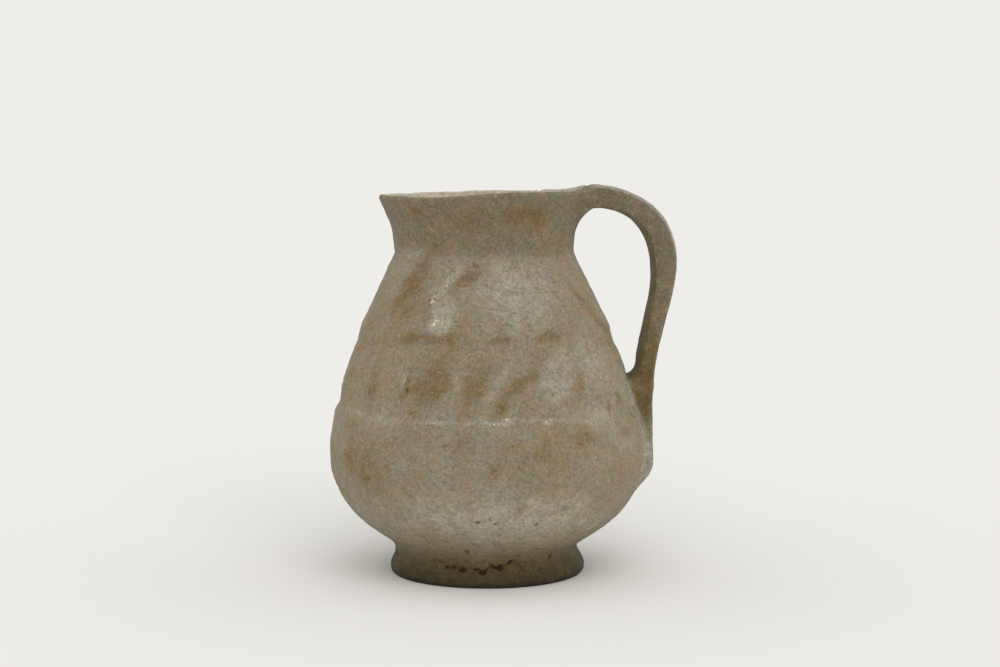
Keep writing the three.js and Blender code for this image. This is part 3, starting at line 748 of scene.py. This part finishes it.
# The handle strap and its root
# A strap pulled from a lump of clay, thick at the rim and thin below, bent over and pressed
# on while wet. Its root is smeared out on the neck, with more clay worked in underneath,
# and its lower end is smoothed into the belly.
handle_reach = 84.8
reach_height = 138.8
pad_face = 73.3
crest = (rim_radius, 173.7)
root_corner = (49.0, 162.8)
strap_foot = 66.0
strap_hidden = 61.4
arch_outer = swung(crest, (76.1, 171.5), (handle_reach, 156.8), (handle_reach, reach_height), 90)
arch_inner = swung(root_corner, (56.0, 162.8), (75.1, 161.5), (75.1, 134.0), 90)
landing = (pad_face + 0.8, lower_seam + 8.0)
inner_landing = (pad_face - 5.3, lower_seam + 16.8)
run_outer = swung(
    (handle_reach, reach_height), (handle_reach, 123.7), (73.1, landing[1] + 14.8), landing, 56)
run_inner = swung((75.1, 134.0), (75.1, 122.0), (68.6, inner_landing[1] + 9.0), inner_landing, 56)
tail_outer = joined(
    bent(landing, (pad_face, lower_seam + 4.0), (pad_face, lower_seam), 10),
    ruled((pad_face, lower_seam), (pad_face, strap_foot), 10),
)
tail_inner = joined(
    bent(inner_landing, (inner_landing[0] - 0.6, lower_seam + 11.4), (strap_hidden, lower_seam + 10.0), 10),
    ruled((strap_hidden, lower_seam + 10.0), (strap_hidden, strap_foot), 10),
)
strap_width_top, strap_width_middle, strap_width_low = 24.0, 21.0, 26.0
strap_corner = 1.9
wall_outline = joined(foot_outer, belly_outer, band_outer, shoulder_outer, neck_outer)


def wall_radius(height):
    """Radius of the jug's outer face at a height, both in millimetres."""
    return np.interp(height, wall_outline[:, 1], wall_outline[:, 0])


def section(half_out, half_side, corner):
    """Places round a flat section with rounded corners, as out and sideways distances."""
    corner = min(corner, half_out, half_side)
    outs, sides = [], []
    for quarter in range(4):
        toward = 1 if quarter in (0, 3) else -1
        across = 1 if quarter < 2 else -1
        turn = (quarter + np.linspace(0.0, 1.0, 7)) * math.pi / 2
        outs.append(toward * (half_out - corner) + corner * np.cos(turn))
        sides.append(across * (half_side - corner) + corner * np.sin(turn))
    out_run, side_run = [], []
    for quarter in range(4):
        following = (quarter + 1) % 4
        flat_steps = 9 if quarter % 2 == 0 else 17
        gap = np.linspace(0.0, 1.0, flat_steps + 2)[1:-1]
        out_run += [outs[quarter], outs[quarter][-1] + (outs[following][0] - outs[quarter][-1]) * gap]
        side_run += [sides[quarter], sides[quarter][-1] + (sides[following][0] - sides[quarter][-1]) * gap]
    return np.concatenate(out_run), np.concatenate(side_run)


def strap_ring(outer_point, inner_point, width, corner=strap_corner):
    """One section of the strap, between a point on its outer face and one on its inner face."""
    outer_point, inner_point = np.array(outer_point), np.array(inner_point)
    across = (outer_point - inner_point) / 2
    half = np.linalg.norm(across)
    out, side = section(half, width / 2, corner)
    full = smooth(outer_point[1], 171.0, 152.0)
    crown = 0.35 * np.sign(out) * (full - (side / (width / 2)) ** 2) * (np.abs(out) > half - corner)
    middle = (outer_point + inner_point) / 2
    reach = (out + crown) / half
    return np.column_stack([middle[0] + across[0] * reach, side, middle[1] + across[1] * reach])


def fillet(away, radius):
    """How far a round fillet has spread at a distance from the wall it runs out on."""
    near = np.clip(away, 0.0, radius)
    return radius - np.sqrt(radius ** 2 - (radius - near) ** 2)


def eased(start, end, share):
    """A value between two others, level at both ends."""
    return start + (end - start) * share * share * (3 - 2 * share)


# The strap's underside at the root, from the neck's wall down in the corner to the arch.
root_under = joined(
    ruled((40.0, 149.4), (40.45, 150.9), 3), bent((40.45, 150.9), (41.4, 156.7), root_corner, 30),
    arch_inner[:14],
)
root_away = root_under[:, 0] - wall_radius(root_under[:, 1])
root_spread = 8.0


def place_on(run, step):
    """The place on a run of points at a step that may fall between two of them."""
    return np.array([np.interp(step, range(len(run)), run[:, axis]) for axis in (0, 1)])


def root_ring(stand_off, drawn_in=1.0):
    """A section that follows the neck's wall at a distance, easing into the flat ones."""
    reached = rim_radius + max(stand_off, 0.0)
    step = np.interp(reached, arch_outer[:, 0], range(len(arch_outer)))
    crest_place = place_on(arch_outer, step)
    under_place = place_on(arch_inner, step)
    low = np.interp(stand_off, root_away, root_under[:, 1])
    half_width = strap_width_top / 2 + fillet(stand_off, root_spread)
    corner = strap_corner + 4.0 * (1 - smooth(stand_off, 0.0, 6.0))
    half_height = (crest_place[1] - low) / 2
    out, side = section(half_height, half_width, corner)
    out, side = out * drawn_in, side * drawn_in
    lip_height = rim_height + rim_rise(np.full(len(side), rim_radius), side, rim_height)
    top = lip_height - 0.3 * smooth(stand_off, 0.5, -1.0)
    top = top + (crest_place[1] - lip_height) * smooth(stand_off, 0.6, 5.6)
    height = low + (out / half_height + 1) / 2 * (top - low)
    thrown_height = height - rim_rise(np.full(len(side), rim_radius), side, height)
    reach = wall_radius(np.minimum(thrown_height, rim_height - lip)) + stand_off
    wrapped = np.column_stack([np.sqrt(np.maximum(reach ** 2 - side ** 2, 1.0)), side, height])
    flat = strap_ring(crest_place, under_place, 2 * half_width, corner)
    return wrapped + (flat - wrapped) * smooth(stand_off, 3.0, 8.0)


def pressed_on(points, hidden=2.0):
    """Runs a handle piece out on the wall in a fillet, and keeps its buried side in the wall."""
    x, y, z = points.T.copy()
    turned = z - rim_rise(x, y, z)
    turned = turned + seam_wander(np.degrees(np.arctan2(y, x)), turned)
    wall_here = wall_radius(np.minimum(turned, rim_height - lip))
    away = np.hypot(x, y) - wall_here
    low_down = 1 - smooth(z, 100.0, 115.0)
    spread = 2.5 + 5.5 * smooth(z, 68.0, 80.0) * smooth(z, 99.0, 84.0)
    y = y + np.sign(y) * fillet(away, spread) * low_down * smooth(np.abs(y), 4.0, 10.0)
    share = (wall_here + np.maximum(away, -hidden)) / np.hypot(x, y)
    return np.column_stack([x * share, y * share, z])


# The middle of the finger loop, and the slanting line on the handle's side, given by its
# upper end and its slope, where the pale smear on the belly gives way to brown.
loop_middle = (58.0, 0.0, 130.0)
smear_top = (60.1, 93.0)
smear_slope = 0.361


def handle_piece(name, rings, clay, smear=0.8):
    """Skins sections into one closed piece of the handle. Smear is how pale its low end is."""
    count = len(rings[0])
    points = pressed_on(np.vstack(rings))
    rough = np.array([noise.noise(Vector(point) * 0.09) * 0.45 + noise.noise(Vector(point) * 0.3) * 0.2
                      + noise.noise(Vector(point) * 0.9) * 0.08 for point in points])
    centres = np.repeat(points.reshape(len(rings), count, 3).mean(axis=1), count, axis=0)
    outward = points - centres
    points = points + outward / np.maximum(np.linalg.norm(outward, axis=1), 1e-6)[:, None] * rough[:, None]
    faces = []
    for row in range(len(rings) - 1):
        for column in range(count):
            following = (column + 1) % count
            here = row * count
            there = here + count
            faces.append((here + column, there + column, there + following, here + following))
    last = (len(rings) - 1) * count
    faces.append(tuple(range(count)))
    faces.append(tuple(last + column for column in reversed(range(count))))
    mesh = bpy.data.meshes.new(name)
    mesh.from_pydata([tuple(point) for point in as_fired(points, rises=False)], [], faces)
    from_loop = (centres - loop_middle) * (1.0, 0.0, 1.0)
    from_loop = from_loop / np.linalg.norm(from_loop, axis=1)[:, None]
    toward = (outward * from_loop).sum(axis=1).reshape(len(rings), count)
    from_outer = (toward.max(axis=1)[:, None] - toward).ravel()
    from_inner = (toward - toward.min(axis=1)[:, None]).ravel()
    beyond = np.maximum(np.hypot(points[:, 0], points[:, 1]) - wall_radius(points[:, 2]), 0.0)
    torn = ragged_places(points, 3.0, 1.6)
    up = torn[:, 2]
    smear_edge = smear_top[0] + smear_slope * (smear_top[1] - points[:, 2])
    past_smear = points[:, 0] + 0.3 * (torn[:, 0] - points[:, 0]) - smear_edge
    under = 0.9 * smooth(from_inner, 2.2, 0.3) * smooth(up, 170.0, 140.0) * smooth(up, 96.0, 104.0)
    # Painted shade on the strap's side near the belly: a brown wedge, partly olive stain, darkening towards
    # the body.
    wedge = smooth(past_smear, -0.5, 1.5) * smooth(up, 60.5, 64.0) * smooth(up, 128.0, 88.0)
    browned = np.maximum(under, wedge * (0.45 + 0.65 * smooth(from_outer, 0.8, 2.6)))
    low_end = smear * smooth(up, 74.0, 65.0)
    by_the_belly = 0.7 * smooth(past_smear, 0.8, -1.2) * smooth(up, 100.0, 92.0)
    on_fillet = 0.6 * smooth(beyond, 2.5, 0.5) * smooth(up, 104.0, 96.0) * smooth(up, 66.0, 72.0)
    smeared = np.maximum(np.maximum(low_end, by_the_belly), on_fillet)
    # Painted highlight: a pale line along the strap's upper outer edge, where light catches its rounded
    # corner.
    painted_edge_highlight = smooth(from_outer, 1.6, 0.5) * smooth(up, 112.0, 158.0) * smooth(beyond, 0.5, 5.0)
    paint_marks(mesh, ragged_places(points), browned, np.maximum(smeared, painted_edge_highlight))
    mesh.materials.append(clay)
    mesh.shade_smooth()
    mesh.set_sharp_from_angle(angle=sharp_corner)
    piece = bpy.data.objects.new(name, mesh)
    bpy.context.scene.collection.objects.link(piece)
    return piece


root_stand_offs = (
    -1.1, -0.7, -0.4, -0.1, 0.0, 0.08, 0.2, 0.4, 0.7, 1.1, 1.6, 2.2, 3.0, 3.9, 4.9, 5.9, 7.0, 8.0,
)
cap_shares = (0.04, 0.25, 0.5, 0.75, 0.9)
strap_rings = [root_ring(root_stand_offs[0], drawn_in) for drawn_in in cap_shares]
strap_rings += [root_ring(stand_off) for stand_off in root_stand_offs]
runs = (
    (arch_outer, arch_inner, strap_width_top, strap_width_middle),
    (run_outer, run_inner, strap_width_middle, strap_width_low),
    (tail_outer, tail_inner, strap_width_low, strap_width_low),
)
for outer_run, inner_run, width_start, width_end in runs:
    for step, (outer_point, inner_point) in enumerate(zip(outer_run, inner_run)):
        on_root = outer_run is arch_outer and outer_point[0] < rim_radius + root_stand_offs[-1] + 0.6
        if on_root or (outer_run is not arch_outer and step == 0):
            continue
        share = step / (len(outer_run) - 1)
        strap_rings.append(strap_ring(outer_point, inner_point, eased(width_start, width_end, share)))
handle_clay = fired_clay("handle_clay", tone(120, 112, 93), tone(114, 104, 80), tone(100, 85, 51))
handle_strap = handle_piece("handle_strap_clay", strap_rings, handle_clay)
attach(handle_strap, "root")
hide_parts("handle_strap", "handle_root_coil")

# The handle's lower pad
# The strap's tail, spread on the belly with the fingers and cut off with a bevel.
pad_width, pad_end_width = 32.0, 24.0
pad_widest = 52.0
pad_end = (65.8, 37.1)
pad_run = joined(
    ruled((pad_face, strap_foot), (pad_face, 51.5), 20),
    bent((pad_face, 51.5), (pad_face, 46.6), (70.4, 42.6), 12),
    ruled((70.4, 42.6), pad_end, 12),
)
pad_rings = []
for face in pad_run:
    if face[1] > pad_widest:
        width = eased(strap_width_low, pad_width, (strap_foot - face[1]) / (strap_foot - pad_widest))
    else:
        width = eased(pad_width, pad_end_width, (pad_widest - face[1]) / (pad_widest - pad_end[1]))
    corner = strap_corner + 1.5 * smooth(strap_foot - face[1], 0.0, 9.0)
    pad_rings.append(strap_ring(face, (strap_hidden, face[1]), width, corner))
handle_pad = handle_piece("handle_lower_pad_clay", pad_rings, body_clay, 0.15)
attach(handle_pad, "root")
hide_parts("handle_lower_pad")

# The floor and the light
# A plain pale surface without an edge in view, one broad soft lamp high in front, and an
# even fill all round.
floor_mesh = bpy.data.meshes.new("floor")
floor_reach = 60.0
floor_mesh.from_pydata([(-floor_reach, -floor_reach, 0.0), (floor_reach, -floor_reach, 0.0),
                        (floor_reach, floor_reach, 0.0), (-floor_reach, floor_reach, 0.0)],
                       [], [(0, 1, 2, 3)])
floor = bpy.data.objects.new("floor", floor_mesh)
bpy.context.scene.collection.objects.link(floor)
floor_material = bpy.data.materials.new("pale_floor")
floor_material.use_nodes = True
floor_shader = floor_material.node_tree.nodes["Principled BSDF"]
floor_shader.inputs["Base Color"].default_value = tone(240, 239, 236)
floor_shader.inputs["Roughness"].default_value = 1.0
floor_shader.inputs["Specular IOR Level"].default_value = 0.0
floor_mesh.materials.append(floor_material)

lamp_data = bpy.data.lights.new("soft_lamp", "SUN")
lamp_data.angle = math.radians(55.0)
lamp_data.energy = 1.12
lamp = bpy.data.objects.new("soft_lamp", lamp_data)
bpy.context.scene.collection.objects.link(lamp)
lamp_from = Vector((0.12, -0.85, 0.6))
lamp.rotation_euler = (-lamp_from).to_track_quat("-Z", "Y").to_euler()

world = bpy.data.worlds.new("even_fill")
bpy.context.scene.world = world
world.use_nodes = True
fill = world.node_tree.nodes["Background"]
fill.inputs["Color"].default_value = (1.0, 0.99, 0.97, 1.0)
fill.inputs["Strength"].default_value = 0.785
seen = world.node_tree.nodes.new("ShaderNodeBackground")
seen.inputs["Color"].default_value = tone(238, 237, 232)
path = world.node_tree.nodes.new("ShaderNodeLightPath")
looked_at = world.node_tree.nodes.new("ShaderNodeMath")
looked_at.operation = "ADD"
world.node_tree.links.new(path.outputs["Is Camera Ray"], looked_at.inputs[0])
world.node_tree.links.new(path.outputs["Is Glossy Ray"], looked_at.inputs[1])
looked_through = world.node_tree.nodes.new("ShaderNodeMath")
looked_through.operation = "ADD"
looked_through.use_clamp = True
world.node_tree.links.new(looked_at.outputs[0], looked_through.inputs[0])
world.node_tree.links.new(path.outputs["Is Transmission Ray"], looked_through.inputs[1])
choose = world.node_tree.nodes.new("ShaderNodeMixShader")
world.node_tree.links.new(looked_through.outputs[0], choose.inputs[0])
world.node_tree.links.new(fill.outputs[0], choose.inputs[1])
world.node_tree.links.new(seen.outputs[0], choose.inputs[2])
world.node_tree.links.new(choose.outputs[0], world.node_tree.nodes["World Output"].inputs["Surface"])
bpy.context.scene.view_settings.view_transform = "Standard"
